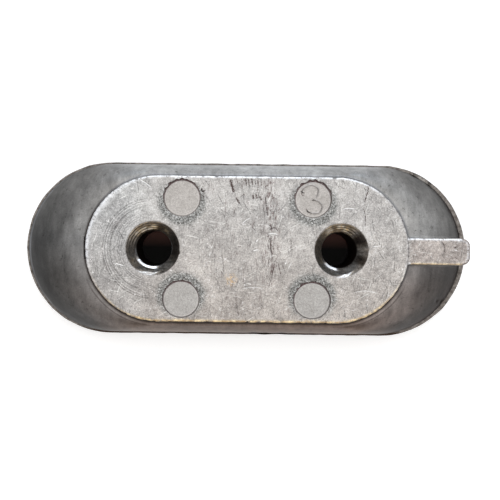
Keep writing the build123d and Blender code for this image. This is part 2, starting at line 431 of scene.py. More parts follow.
# ------------------------------------------------------------
# Handling marks and the cavity number: scratches cut into the pad, dark drag marks, and a
# plain 3 that stands up as a thin bead on one pin mark.
# Each line: its points, half width, height (less than 0 is cut in), darkness, brightness.
lines = [
    ([(-3.85, 15.6), (-3.6, 14.4), (-3.0, 12.4)], 0.4, -0.06, 1.0, 0),
    ([(-2.6, 11.6), (-2.2, 10.8), (-1.7, 9.9)], 0.32, -0.05, 1.0, 0),
    ([(-2.3, 15.3), (-2.2, 14.3)], 0.16, -0.03, 0.55, 0),
    ([(3.95, 14.3), (3.9, 13.1)], 0.12, -0.03, 0.6, 0),
    ([(-3.5, 15.7), (-3.4, 14.8)], 0.14, -0.03, 0.8, 0),
    ([(-1.4, 15.6), (-1.35, 14.7)], 0.14, -0.03, 0.6, 0),
    ([(-0.5, 15.7), (-0.25, 13.8)], 0.18, -0.04, 0.95, 0),
    ([(0.15, 15.6), (0.3, 13.6)], 0.15, -0.03, 0.8, 0),
    ([(0.85, 15.7), (1.0, 13.9)], 0.18, -0.04, 0.9, 0),
    ([(1.55, 15.6), (1.7, 14.2)], 0.15, -0.03, 0.8, 0),
    ([(2.2, 15.7), (2.3, 13.8)], 0.21, -0.03, 0.75, 0),
    ([(2.85, 15.5), (2.95, 13.9)], 0.21, -0.03, 0.7, 0),
    ([(3.85, 12.0), (4.1, 9.9), (4.5, 7.2)], 0.14, -0.05, 1.0, 0),
    ([(-1.6, 11.4), (-0.9, 12.1), (-0.6, 11.7)], 0.11, -0.04, 0.7, 0),
    ([(1.1, 12.2), (1.3, 10.9)], 0.26, -0.04, 0.9, 0),
    ([(1.75, 12.2), (2.15, 11.1)], 0.28, -0.04, 1.0, 0),
    ([(2.5, 11.8), (3.1, 10.8)], 0.28, -0.04, 1.0, 0),
    ([(4.5, 5.6), (5.4, 4.9), (4.9, 4.3), (6.1, 4.8), (6.8, 4.0)], 0.14, -0.05, 0.9, 0),
    ([(5.3, 3.0), (5.15, 1.0), (5.6, -1.5)], 0.16, -0.05, 0.95, 0),
    ([(4.6, 1.6), (4.7, 0.2)], 0.11, -0.04, 0.7, 0),
    ([(6.1, -2.6), (5.6, -5.5), (4.8, -8.7)], 0.12, -0.04, 0.75, 0),
    ([(9.6, 2.4), (9.7, 0.2), (9.4, -1.2)], 0.1, -0.03, 0.5, 0),
    ([(3.2, -0.6), (3.4, -2.6)], 0.1, -0.03, 0.5, 0),
    ([(26.8, 14.4), (26.3, 12.6), (25.7, 10.6)], 0.18, -0.05, 0.85, 0),
    ([(25.2, 9.5), (25.9, 8.2), (26.0, 5.3)], 0.12, -0.04, 0.75, 0),
    ([(31.8, -5.8), (30.7, -8.7), (29.2, -11.1)], 0.12, -0.03, 0.4, 0),
    ([(17.3, 7.2), (17.5, 6.6), (18.0, 7.0)], 0.1, -0.04, 0.8, 0),
    ([(-5.6, -1.0), (-5.2, -3.2), (-5.1, -5.4)], 0.12, -0.03, 0.6, 0),
    ([(-2.5, -10.5), (-2.1, -12.8), (-1.6, -15.0)], 0.12, -0.03, 0.55, 0),
    ([(2.5, -13.6), (3.2, -15.1)], 0.12, -0.03, 0.5, 0),
    ([(0.2, 6.0), (1.1, 4.9), (2.2, 3.8)], 0.11, -0.03, 0.55, 0),
    ([(6.8, -2.8), (7.2, -4.2), (7.5, -5.8)], 0.17, -0.04, 0.8, 0),
    ([(7.9, -3.4), (8.3, -4.8)], 0.13, -0.03, 0.6, 0),
    ([(14.3, 5.2), (14.9, 3.2)], 0.11, -0.03, 0.45, 0),
    ([(-1.2, 5.6), (-0.2, 6.5), (0.7, 7.0)], 0.12, -0.02, 0, 0.7),
    ([(1.3, -0.3), (2.4, 0.0)], 0.15, -0.02, 0, 0.9),
    ([(1.9, 1.6), (2.5, 2.3)], 0.14, -0.02, 0, 0.8),
    ([(-10.2, 13.4), (-9.95, 12.6), (-9.4, 12.9)], 0.18, -0.14, 1.0, 0),
    ([(-9.9, 11.9), (-9.6, 11.2)], 0.14, -0.1, 0.9, 0),
    ([(21.0, 9.1), (22.3, 9.35), (23.7, 9.2)], 0.11, -0.03, 0, 1.0),
    ([(4.6, 3.45), (5.6, 3.6), (6.8, 3.35)], 0.1, -0.03, 0, 1.0),
    ([(-29.0, -3.3), (-28.1, -3.6), (-27.0, -3.9)], 0.12, -0.03, 0, 1.0),
    ([(-23.9, 15.2), (-22.4, 14.3), (-21.1, 13.3)], 0.12, -0.03, 0, 0.9),
    ([(-25.6, 14.9), (-24.4, 14.2)], 0.1, -0.03, 0, 0.8),
    ([(-1.0, -8.6), (1.6, -8.3), (3.6, -8.5)], 0.09, -0.02, 0, 0.7),
    ([(27.5, 0.9), (29.6, 1.2)], 0.09, -0.02, 0, 0.8),
    ([(23.5, -9.2), (26.0, -8.8), (28.6, -9.1)], 0.09, -0.02, 0, 0.7),
    ([(9.0, -4.4), (9.9, -2.6)], 0.08, -0.02, 0, 0.7),
    # The 3: a raised bead with painted shade along it, and flat dark strokes of painted shadow beside it.
    ([(12.0, 12.5), (12.1, 13.3), (12.65, 13.85), (14.1, 14.35), (15.4, 13.6), (15.45, 12.5), (15.1, 11.7)],
     0.14, 0.07, 0.3, 0),
    ([(12.1, 13.0), (11.9, 12.3), (12.4, 12.0)], 0.14, 0.004, 0.9, 0),
    ([(12.9, 9.2), (13.2, 8.6), (13.9, 8.3)], 0.14, 0.004, 0.9, 0),
    ([(14.2, 11.0), (14.9, 11.0)], 0.12, 0.004, 0.7, 0),
    ([(14.2, 11.0), (15.3, 10.9), (16.2, 10.1), (16.4, 9.5), (16.2, 8.9), (15.8, 8.3), (14.5, 8.1),
      (13.4, 8.4), (13.1, 8.9)], 0.14, 0.07, 0.3, 0),
    ([(42.9, 2.4), (43.2, 1.8), (43.6, 0.9), (43.5, -0.4)], 0.11, -0.06, 0.8, 0),
    # A pit on the tab, painted dark inside as shade, with a painted highlight below it.
    ([(45.6, 1.0), (46.2, 0.8)], 0.2, -0.1, 0.9, 0),
    ([(45.5, 0.45), (46.4, 0.3)], 0.12, -0.01, 0, 0.9),
    ([(44.9, -1.6), (45.8, -1.3), (46.6, -1.8)], 0.1, -0.03, 0.5, 0),
]


def smooth_line(points, step):
    """A curve through the points (Catmull-Rom), sampled evenly, with its unit normals."""
    knots = np.asarray(points, float)
    knots = np.vstack([2 * knots[0] - knots[1], knots, 2 * knots[-1] - knots[-2]])
    a, b, c, d = knots[:-3, None], knots[1:-2, None], knots[2:-1, None], knots[3:, None]
    t = np.linspace(0, 1, 20)[None, :, None]
    curve = 2 * b + (c - a) * t + (2 * a - 5 * b + 4 * c - d) * t**2 + (3 * b - a - 3 * c + d) * t**3
    curve = (0.5 * curve).reshape(-1, 2)
    gone = np.concatenate([[0], np.cumsum(np.hypot(*np.diff(curve, axis=0).T))])
    even = np.linspace(0, gone[-1], max(int(gone[-1] / step), 4))
    x, y = np.interp(even, gone, curve[:, 0]), np.interp(even, gone, curve[:, 1])
    dx, dy = np.gradient(x), np.gradient(y)
    size = np.hypot(dx, dy)
    return x, y, -dy / size, dx / size


TAB_FROM = 36.5
mark_xy, mark_shade, mark_index = [], [], []
for points, half, height, dark, bright in lines:
    x, y, nx, ny = smooth_line(points, 0.16)
    share = np.linspace(0, 1, x.size)
    taper = np.minimum(1, np.minimum(share, 1 - share) * 6 + (0.6 if height > 0 else 0.25))
    on_disc, on_tab = height > 0, x[0] > TAB_FROM
    ground_z = PIN_FLOOR if on_disc else TAB_TOP if on_tab else THICKNESS
    kind = DISC if on_disc else TAB if on_tab else PAD
    for lane in (-1, -0.55, 0, 0.55, 1):
        swell = height * (1 - lane**2) ** 1.5 * taper
        if kind == PAD:
            swell = swell - 0.01 - 0.012 * (rolling(x, y, 9.0, 41) + 1) / 2
        lane_x, lane_y = x + lane * half * taper * nx, y + lane * half * taper * ny
        mark_index.append(lay(lane_x, lane_y, ground_z + swell, kind, closed=False))
        mark_xy.append(np.column_stack([lane_x, lane_y]))
        weight = (1 - lane**2) * taper
        mark_shade.append(np.column_stack([dark * weight, bright * weight]))
mark_xy, mark_shade, mark_index = np.vstack(mark_xy), np.vstack(mark_shade), np.concatenate(mark_index)

# ------------------------------------------------------------
# Faces of the upper side: a loose triangular lattice fills the flats between the rows laid
# above, and a Delaunay mesh joins all of it. The walls below are plain bands of faces.
STEP, FRONT_STEP = 0.27, 1.3


def lattice(columns, rows):
    """Rows of evenly spaced points, every other row shifted by half a space."""
    x, y = np.meshgrid(columns, rows)
    return x + np.where(np.arange(rows.size) % 2, (columns[1] - columns[0]) / 2, 0)[:, None], y


lattice_x, lattice_y = lattice(np.arange(-36, 50, STEP), np.arange(-16.5, 16.5, STEP * 0.866))
draw = np.random.default_rng(5)
fill_x = (lattice_x + draw.uniform(-0.05, 0.05, lattice_x.shape)).ravel()
fill_y = (lattice_y + draw.uniform(-0.05, 0.05, lattice_y.shape)).ravel()
# The lattice stays off every cell that lies within three of a mark.
CELL, CELLS = 0.06, np.array([2000, 800])
marked = np.zeros(CELLS, bool)
cell = np.round(mark_xy / CELL).astype(int) + CELLS // 2
for i in range(-3, 4):
    for j in range(-3, 4):
        marked[cell[:, 0] + i, cell[:, 1] + j] = True
fill_cell = np.round(np.column_stack([fill_x, fill_y]) / CELL).astype(int) + CELLS // 2
clear = ~marked[fill_cell[:, 0], fill_cell[:, 1]]
for hole_x in (-HOLE_X, HOLE_X):
    clear &= np.hypot(fill_x - hole_x, fill_y) > CONE_RADIUS + 0.3
pin_reach = np.min([np.hypot(fill_x - px, fill_y - py) for px, py in pin_centres], axis=0)
clear &= (pin_reach > PIN_RADIUS + 0.6) | (pin_reach < PIN_RADIUS - 0.36)
pad_reach = slot_distance(fill_x, fill_y, PAD_LENGTH, PAD_WIDTH)
on_pad, on_disc = pad_reach < -0.52, pin_reach < PIN_RADIUS
lay(fill_x, fill_y, THICKNESS, PAD, keep=clear & on_pad & ~on_disc)
lay(fill_x, fill_y, PIN_FLOOR, DISC, keep=clear & on_pad & on_disc)
on_tab = (tab_distance(fill_x, fill_y) < -TAB_EDGE - 0.12) & (pad_reach > 0.1)
lay(fill_x, fill_y, TAB_TOP, TAB, keep=clear & on_tab)

plan, level, finish = np.vstack(plan), np.concatenate(level), np.concatenate(finish)
ties, border = np.vstack(ties), np.concatenate(border)


def triangulate(points, edges, rims):
    """Delaunay triangles over flat points, keeping the tied edges, with each corner's first source.

    A triangle with all three corners on one rim lies outside the metal, and is left out.
    """
    corners, _, faces, source, _, _ = delaunay_2d_cdt(points.tolist(), edges.tolist(), [], 0, 1e-6)
    corners, faces = np.array([tuple(c) for c in corners]), np.array(faces)
    source = np.array([s[0] if s else -1 for s in source])
    held = np.where(source >= 0, rims[source], -1)[faces]
    outside = (held[:, 0] >= 0) & (held[:, 0] == held[:, 1]) & (held[:, 1] == held[:, 2])
    return corners, faces[~outside], source


top_xy, top_faces, source_of_top = triangulate(plan, ties, border)
known = source_of_top >= 0
shade_of = np.zeros((len(plan), 2))
shade_of[mark_index] = mark_shade
for ring, shades in groove_rings:
    shade_of[ring] = shades
x, y = top_xy.T
top_z = np.where(known, level[source_of_top], body_height(x, y))
zone = np.where(known, finish[source_of_top], np.where(top_z > 14.9, PAD, SKIN))
place = np.full(len(plan), -1)
place[source_of_top[known]] = np.nonzero(known)[0]

# Unevenness of the cast surfaces: long low waves on the shoulder, a slightly hollow pad, and
# rough rings where the metal stood up round the pins.
SLOPE_FROM, SLOPE_TO = 7.2, 13.99
on_slope = 1 / (1 + np.exp(-(top_z - SLOPE_FROM) / 0.25)) * (top_z < SLOPE_TO)
wave = 0.05 * rolling(x, y, 14.0, 51) + 0.022 * rolling(x, y, 4.5, 52) + 0.006 * rolling(x, y, 1.4, 53)
top_z = top_z + np.where(on_slope > 0, wave * on_slope, 0)
RING_RADIUS, RING_SHIFT = 4.45, 0.955
pin_reach = np.min([np.hypot(x - px, y - RING_SHIFT * py) for px, py in pin_centres], axis=0)
rough_ring = bell(pin_reach - RING_RADIUS, 1.0) * ((zone == PAD) & (top_z > 14.9))
rough_ring = rough_ring * (0.85 + 0.25 * rolling(x, y, 1.6, 58)).clip(0.4, 1)
rough_ring = rough_ring * (0.75 + 0.6 * (PIN_Y - np.abs(y)) / 4.5).clip(0.25, 1)
top_z = top_z - rough_ring * (0.04 + 0.04 * rolling(x, y, 0.75, 57))
on_flat = np.isin(zone, (PAD, DISC)) & (top_z > 14.6)
hollow = 0.012 * (rolling(x, y, 9.0, 41) + 1) / 2 + 0.01 * (rolling(x, y, 1.1, 42) + 1) / 2
top_z = np.where(on_flat, top_z - hollow, top_z)
on_tab = (zone == TAB) & (top_z > TAB_TOP - 0.15)
top_z = np.where(on_tab, top_z + 0.025 * rolling(x, y, 3.5, 55) + 0.012 * rolling(x, y, 1.0, 56), top_z)

# Chips and trimming scars at the rim, each a place, a radius and a depth. A dark low edge
# at -Y, and a painted highlight on a flash remnant at +Y.
rim_chips = (
    (38.9, 18.0, 0.8, 0.8), (39.8, 17.6, 0.6, 0.8), (40.9, 17.2, 0.4, 0.3), (42.7, 16.0, 0.8, 0.9),
    (45.3, -11.6, 0.5, 0.5), (43.6, -11.3, 0.45, 0.3), (47.0, -12.0, 0.5, 0.4), (1.9, -19.6, 1.0, 0.5),
    (3.4, -19.7, 0.6, 0.4), (4.8, -19.6, 0.8, 0.4), (8.2, -19.6, 1.0, 0.5),
)
chipped = 0 * x
for chip_x, chip_y, size, depth in rim_chips:
    near = bell(np.hypot(x - chip_x, y - chip_y), size)
    top_z = top_z - np.where(top_z < 14, depth * near * (top_z > PARTING_HEIGHT + 0.02), 0)
    chipped = np.maximum(chipped, near * (top_z < 14))
low_edge = bell(x - 6.5, 5.6, 8) * ((y < -15) & (top_z < 10))
low_edge = low_edge * ((7.35 - top_z + 0.4 * rolling(x, 0 * x, 3.0, 82)) / 0.6).clip(0, 1)
chipped = np.maximum(chipped, 1.2 * low_edge)
flash_highlight = bell(x - 40.6, 1.3, 4) * bell(slot_distance(x, y, LENGTH, WIDTH) + 0.45, 0.3) * (y > 0)

points = [np.column_stack([x, y, top_z])]
zones = [zone]
faces = [top_faces]
total = len(x)


def band(index_above, ring_x, ring_y, ring_z, zone_name, inward=False):
    """A row of faces from a ring of corners down to a new ring, and the new ring's corners."""
    global total
    below = total + np.arange(index_above.size)
    points.append(np.column_stack([ring_x, ring_y, ring_z + 0 * ring_x]))
    zones.append(np.full(index_above.size, zone_name))
    above_next, below_next = np.roll(index_above, -1), np.roll(below, -1)
    pair = np.vstack(
        [np.column_stack([index_above, below, above_next]), np.column_stack([above_next, below, below_next])]
    )
    faces.append(pair[:, ::-1] if inward else pair)
    total += index_above.size
    return below


# Walls of the bores, down to a small chamfer at the front face.
BORE_CHAMFER = 0.5
front_loops = []
for hole_x, ring in zip((-HOLE_X, HOLE_X), bore_rings):
    ring = place[ring]
    for height in np.append(np.linspace(CONE_BOTTOM, BORE_CHAMFER, 15)[1:], 0.0):
        radius = BORE_RADIUS + max(0.0, BORE_CHAMFER - height) + 0.0 * around
        if BORE_CHAMFER < height:
            radius = radius + 0.01 * np.cos(3 * around + height)
        ring = band(ring, *circle(hole_x, 0, radius, around), height, BORE, inward=True)
    front_loops.append(ring)


def wall_inset(height):
    """How far the front half's wall has come in at a height: its draft below the parting line."""
    return (PARTING_HEIGHT - height) * math.tan(FRONT_DRAFT)


# The front half's side: a drafted wall, then the round into the front face.
ring = place[outline]
centre_in = wall_inset(FRONT_RADIUS) + FRONT_RADIUS / math.cos(FRONT_DRAFT)
turn = np.radians(np.linspace(3, 90, 12))
side_rows = [(wall_inset(h), h) for h in (6.15, 5.6, 5.0, 4.4, 3.8, 3.3)]
side_rows += list(zip(centre_in - FRONT_RADIUS * np.cos(turn), FRONT_RADIUS - FRONT_RADIUS * np.sin(turn)))
for inset, height in side_rows:
    x, y = slot_ring(LENGTH - 2 * inset, WIDTH - 2 * inset)
    dent = 0.04 + 0.035 * rolling(x, y + 3 * height, 7.0, 61) + 0.015 * rolling(x, y + height, 1.8, 62)
    dent = (dent.clip(0.0, 0.15) * min(1.0, height / 1.5) + trim * (height > 5.9)) * off_tips
    ring = band(ring, *drawn_in(x, y, dent), max(height, 0.0), SKIN)

# The front face: a coarser lattice inside the last ring and outside the bores.
corners = np.vstack(points)
loops = [ring] + front_loops
loop_points = np.concatenate(loops)
starts = np.cumsum([0] + [len(loop) for loop in loops])
loop_ties = np.vstack(
    [np.column_stack([np.arange(a, b), np.roll(np.arange(a, b), -1)]) for a, b in zip(starts[:-1], starts[1:])]
)
grid_x, grid_y = lattice(np.arange(-48, 48, FRONT_STEP), np.arange(-17, 17, 1.12))
grid_x, grid_y = grid_x.ravel(), grid_y.ravel()
inner = slot_distance(grid_x, grid_y, LENGTH - 2 * centre_in, WIDTH - 2 * centre_in) < -0.4
for hole_x in (-HOLE_X, HOLE_X):
    inner &= np.hypot(grid_x - hole_x, grid_y) > BORE_RADIUS + 1.0
face_xy = np.vstack([corners[loop_points, :2], np.column_stack([grid_x[inner], grid_y[inner]])])
front_rims = np.full(len(face_xy), -1)
front_rims[: len(loop_points)] = np.repeat(np.arange(3), [len(loop) for loop in loops])
front_xy, front_faces, source = triangulate(face_xy, loop_ties, front_rims)
new = source >= len(loop_points)
index = np.where(new, 0, loop_points[np.minimum(source, len(loop_points) - 1)])
index[new] = total + np.arange(int(new.sum()))
faces.append(index[front_faces][:, ::-1])
front_z = 0.012 * (rolling(front_xy[new, 0], front_xy[new, 1], 12.0, 71) + 1)
points.append(np.column_stack([front_xy[new], front_z]))
zones.append(np.full(int(new.sum()), SKIN))

corners, faces, zones = np.vstack(points), np.vstack(faces), np.concatenate(zones)
reach = np.array([LENGTH / 2, WIDTH / 2, THICKNESS])
corners = np.clip(corners, (-reach[0], -reach[1], 0.0), reach)

casting_mesh = bpy.data.meshes.new("anode_block")
casting_mesh.from_pydata((corners * 0.001).tolist(), [], faces.tolist())
casting_mesh.validate()
casting_mesh.shade_smooth()
casting_mesh.set_sharp_from_angle(angle=math.radians(38.0))

# Masks for the finish, one value a corner: where each surface is, and where it is marked.
x, y, z = corners.T
is_zone = [(zones == kind).astype(float) for kind in range(7)]
marks = np.zeros((len(corners), 4))
marks[: known.size][known, :2] = shade_of[source_of_top[known]]
marks[: known.size, 1] = np.maximum(marks[: known.size, 1], flash_highlight)
marks[: known.size, 3] = rough_ring
tones = np.zeros((len(corners), 3))
for ring, tone in cone_tones:
    tones[place[ring]] = tone
marks[:, 2] = tones[:, 2]


def darken(values):
    """Raises the dark mark to these values, from the first corner on."""
    marks[: len(values), 0] = np.maximum(marks[: len(values), 0], values)


# The rim: chips, and at +X a bright trimmed crescent with a dark line inside it.
darken(0.9 * chipped)
rim_reach = slot_distance(x, y, LENGTH, WIDTH)
crescent = rise(x, 44.0, 47.0) * (z > 6.25)
darken(0.8 * crescent * bell(rim_reach + 1.35 + 0.3 * rolling(x, y, 2.0, 81), 0.22))
crescent = crescent * np.clip(1.5 - np.abs(rim_reach + 0.4) / np.where(y > 0, 0.42, 0.7), 0, 1)
scar = np.maximum(is_zone[LAND], crescent * is_zone[SKIN]) * (z > 6.0)

# The pad's edge: a painted highlight, broadest at -X, and dull with a dark rim round the +X, +Y arc.
pad_reach = slot_distance(x, y, PAD_LENGTH, PAD_WIDTH)
broad = 0.17 + 0.5 * rise(-x, 22.0, 30.0) * rise(y, -6.0, 0.0)
broad = broad + (0.12 - 0.16 * rise(-x, 22.0, 27.0)) * rise(-y, 7.0, 11.0)
right_arc = rise(x, 26.5, 30.5) * rise(y, -6.0, -2.0)
pad_edge_highlight = bell(pad_reach + 0.24, broad) * (z > 14.7)
pad_edge_highlight = pad_edge_highlight * (1 - 0.85 * right_arc) * (1 - 0.35 * rise(-x, 24.0, 27.0))
pad_rim = bell(pad_reach + 0.12, 0.22) * (z > 14.6)
darken((0.45 + 0.4 * rolling(x, y, 1.3, 83)).clip(0.1, 0.8) * right_arc * pad_rim)

# The tab's edge: a painted highlight along its sides, and painted shade round its end with a highlight line inside.
tab_reach = tab_distance(x, y)
tab_edge_highlight = bell(tab_reach + 0.2, 0.2) * (x < 47.2)
tab_edge_highlight = is_zone[TAB] * np.maximum(tab_edge_highlight, 0.6 * (x > 46.5) * bell(tab_reach + 0.5, 0.16))
darken(0.75 * is_zone[TAB] * rise(x, 46.8, 47.6) * bell(tab_reach + 0.02, 0.3 - 0.1 * np.sign(y)))
edge_highlight = np.maximum(pad_edge_highlight * is_zone[PAD], tab_edge_highlight)


def store(name, values):
    """Keeps one colour of four numbers at each corner."""
    layer = casting_mesh.attributes.new(name, "FLOAT_COLOR", "POINT")
    layer.data.foreach_set("color", np.asarray(values, np.float32).ravel())


store("surfaces", np.column_stack([is_zone[PAD] + is_zone[TAB], is_zone[DISC], is_zone[CONE], is_zone[BORE]]))
store("marks", marks)
store("edges", np.column_stack([scar, edge_highlight, tones[:, 1], 0.5 + 0.5 * tones[:, 0]]))

casting = put_in_scene("anode_block", casting_mesh)
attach(casting, "root")
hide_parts("anode_casting")

# ------------------------------------------------------------
# Finish of the casting: bare aluminium. A smooth dull grey skin on the slopes with painted
# light and shade, a bright rubbed and pitted pad, smoother pin marks, and turned cones with
# a painted warm reflection on top.
metal = bpy.data.materials.new("cast_aluminium")
metal.use_nodes = True
tree = metal.node_tree
tree.nodes.clear()


def node(kind, feeds=None, **settings):
    """Adds a shader node to `tree`; `feeds` gives sockets, by name or place, a value or an output."""
    made = tree.nodes.new("ShaderNode" + kind)
    for name, value in settings.items():
        setattr(made, name, value)
    for name, value in (feeds or {}).items():
        if isinstance(value, bpy.types.NodeSocket):
            tree.links.new(value, made.inputs[name])
        else:
            made.inputs[name].default_value = value
    return made


def solid(tone):
    """A colour from three numbers, or a grey from one, made fully solid. An output passes through."""
    if isinstance(tone, (int, float)):
        tone = (tone, tone, tone)
    return (*tone, 1.0) if isinstance(tone, tuple) else tone


def grain(scale, detail=2.0, rough=0.5, stretch=(1, 1, 1), distortion=0.0, turn=0.0):
    """Cloudy noise: `scale` features a millimetre, drawn out by `stretch`, turned about Z."""
    turned = node("Mapping", {"Vector": position, "Rotation": (0.0, 0.0, turn)}).outputs[0]
    held = node("Mapping", {"Vector": turned, "Scale": tuple(scale * s for s in stretch)})
    feeds = {"Vector": held.outputs[0], "Scale": 1.0, "Detail": detail, "Roughness": rough}
    return node("TexNoise", {**feeds, "Distortion": distortion}).outputs["Fac"]


def reshape(value, low, high, to_low=0.0, to_high=1.0):
    """Stretches a range of a value to another, and holds it at the ends."""
    feeds = {"Value": value, "From Min": low, "From Max": high, "To Min": to_low, "To Max": to_high}
    return node("MapRange", feeds).outputs[0]


def calc(operation, first, second=0.0):
    """One sum on two numbers."""
    return node("Math", {0: first, 1: second}, operation=operation).outputs[0]


def times(first, *others):
    """The product of all the numbers."""
    for other in others:
        first = calc("MULTIPLY", first, other)
    return first


def within(*spans):
    """A share that is 1 where every value is past its range: the product of their `reshape`s."""
    return times(*(reshape(*span) for span in spans))


def distance_from(place_x, place_y):
    """Distance in plan from a place: the root of the two squares."""
    over_x, over_y = calc("SUBTRACT", along_x, place_x), calc("SUBTRACT", across_y, place_y)
    return calc("SQRT", calc("ADD", times(over_x, over_x), times(over_y, over_y)))


def blend_value(share, first, second):
    """One number over another, by `share`."""
    return node("Mix", {0: share, 2: first, 3: second}, data_type="FLOAT").outputs[0]


def blend_colour(share, first, second, kind="MIX"):
    """One colour over another, by `share`."""
    feeds = {0: share, 6: solid(first), 7: solid(second)}
    return node("Mix", feeds, data_type="RGBA", blend_type=kind).outputs[2]


def coated(base, *coats):
    """Lays coats over a base in turn: each has a share, a colour or grey, and maybe a kind of mix."""
    for share, tone, *kind in coats:
        base = blend_colour(share, base, tone, *kind)
    return base


def ramp_of(value, *stops, ease=False):
    """Tones that follow a value, from pairs of a place and a tone."""
    ramp = node("ValToRGB", {0: value})
    ramp.color_ramp.interpolation = "EASE" if ease else "LINEAR"
    elements = ramp.color_ramp.elements
    while len(elements) < len(stops):
        elements.new(0.5)
    for element, (place_at, tone) in zip(elements, stops):
        element.position, element.color = place_at, solid(tone)
    return ramp.outputs[0]


def split(name):
    """The four numbers kept under a name at each corner."""
    read = node("Attribute", attribute_name=name, attribute_type="GEOMETRY")
    parts = node("SeparateColor", {0: read.outputs["Color"]})
    return parts.outputs[0], parts.outputs[1], parts.outputs[2], read.outputs["Alpha"]


place_in_metres = node("TexCoord").outputs["Object"]
position = node("VectorMath", {0: place_in_metres, "Scale": 1000.0}, operation="SCALE").outputs[0]
along_x, across_y, up_z = node("SeparateXYZ", {0: position}).outputs
either_end = calc("ABSOLUTE", along_x)
pad_mask, disc_mask, cone_mask, bore_mask = split("surfaces")
dark_mark, bright_mark, cone_warm_reflection, ring_mask = split("marks")
scar_mask, edge_highlight_mask, cone_highlight_mask, flat_tone = split("edges")
torn = reshape(grain(3.4, 4, 0.8), 0.36, 0.6)
# Dark marks: chips, cuts and drag marks, and the painted shade round the tab's end.
dark_marks_and_shade = times(reshape(dark_mark, 0.05, 0.5), reshape(calc("ADD", torn, dark_mark), 0.85, 1.45))

# Skin: grey with painted shade that darkens it from the ledge to the rim, more on the -Y
# side than on the other: a painted lit ramp and a painted shaded ramp, mixed by side.
up_slope = reshape(up_z, 7, 13.8)
painted_lit_skin = ramp_of(
    up_slope, (0, 0.08), (0.12, 0.076), (0.3, 0.1), (0.48, 0.138), (0.66, 0.19), (0.81, 0.28), (0.91, 0.32),
    (1, 0.34),
)
painted_shade_skin = ramp_of(
    up_slope, (0, 0.055), (0.12, 0.044), (0.3, 0.044), (0.48, 0.062), (0.66, 0.108), (0.81, 0.155),
    (0.91, 0.195), (1, 0.26),
)
lit_side_share = reshape(calc("ADD", across_y, times(along_x, 0.07)), -1.5, 10)
flank = within((either_end, 35, 25), (up_z, 6, 6.6))
wall_shade_share = reshape(calc("SUBTRACT", times(across_y, -1.0), times(along_x, 0.25)), -8, 2)
clouds = reshape(grain(0.07, 3, 0.55), 0.35, 0.65)
blotches = reshape(grain(0.25, 4, 0.6), 0.32, 0.68)
drawn = reshape(grain(0.5, 4, 0.7, (1.0, 0.35, 1)), 0.3, 0.7)
scar = blend_colour(reshape(grain(1.1, 4, 0.65), 0.35, 0.65), (0.11, 0.095, 0.085), (0.3, 0.275, 0.255))
warm_shaded_rim = within((across_y, -18.5, -19.2), (up_z, 6.2, 6.25))
skin = coated(
    painted_shade_skin,
    (lit_side_share, blend_colour(1.0, painted_lit_skin, (1.0, 0.98, 0.955), "MULTIPLY")),
    # A paler -Y side under the ledge as painted light, and painted shade just above its foot.
    (within((up_z, 11.6, 13.4), (across_y, -8, -15.5)), (0.29, 0.28, 0.275)),
    (within((up_z, 12.8, 11.5), (across_y, -15.5, -18, 0, 0.5)), (0.03, 0.025, 0.022)),
    # Painted shade under the ledge at -X and on the low -Y slopes of both ends, painted light over the tab.
    (within((up_z, 10.8, 12.5), (along_x, -26, -34)), 0.84, "MULTIPLY"),
    (within((up_z, 10.8, 8.5), (across_y, -2, -8), (either_end, 26, 32)), 0.77, "MULTIPLY"),
    (within((across_y, 1, 3), (across_y, 12, 8), (up_z, 9.5, 11.5), (along_x, 34, 40)), 1.2, "MULTIPLY"),
    # The straight flanks, painted light at +Y and painted warm shade at -Y, and the darkest painted shade, low at +X
    # and -Y.
    (times(flank, reshape(across_y, 13.5, 17.5)), (0.3, 0.305, 0.31)),
    (times(flank, reshape(across_y, -13.5, -17.5)), (0.135, 0.108, 0.092)),
    (times(reshape(up_z, 9.8, 7.8), reshape(calc("SUBTRACT", along_x, across_y), 48, 56), 0.8), (0.026, 0.018, 0.016)),
    # A painted highlight line at the -X rim, the drafted side below the parting line, and a painted warm reflection at
    # -Y.
    (within((up_z, 7.3, 6.9), (along_x, -30, -42)), (0.17, 0.175, 0.185)),
    (reshape(up_z, 6.4, 6.1), (0.18, 0.178, 0.176)),
    (within((across_y, 2, -8), (along_x, -50, 30, 0.3, 1)), (1.0, 0.89, 0.84), "MULTIPLY"),
    # The pad's wall with painted shade on its -Y side, a brown painted shadow line on the ledge at its -Y foot, and
    # painted shade low on the +X end round the tab's foot.
    (reshape(up_z, 14, 14.2), blend_colour(wall_shade_share, (0.3, 0.3, 0.31), (0.06, 0.045, 0.04))),
    (within((up_z, 13.91, 13.93), (up_z, 13.98, 13.96), (across_y, -7, -10, 0, 0.55)), (0.06, 0.048, 0.045)),
    (within((up_z, 8.6, 6.9), (along_x, 41, 45, 0, 0.75)), (0.02, 0.016, 0.015)),
    # Dark specks, soft clouds, blotches, drag streaks and fine grain.
    (reshape(grain(1.2, 4, 0.7), 0.6, 0.7, 0, 0.6), (0.03, 0.026, 0.023)),
    (0.6, blend_colour(clouds, 0.36, 0.64), "OVERLAY"),
    (0.35, blend_colour(blotches, 0.3, 0.7), "OVERLAY"),
    (0.45, blend_colour(drawn, 0.2, 0.8), "OVERLAY"),
    (0.5, blend_colour(grain(3.2, 4, 0.75), 0.1, 0.9), "OVERLAY"),
    # The trimmed rim with painted warm shade at -Y, the chips and dark marks on it, and a painted highlight on the
    # flash.
    (scar_mask, blend_colour(warm_shaded_rim, scar, (0.06, 0.042, 0.033))),
    (dark_marks_and_shade, (0.018, 0.014, 0.012)),
    (times(bright_mark, 0.8), (0.6, 0.58, 0.55)),
)

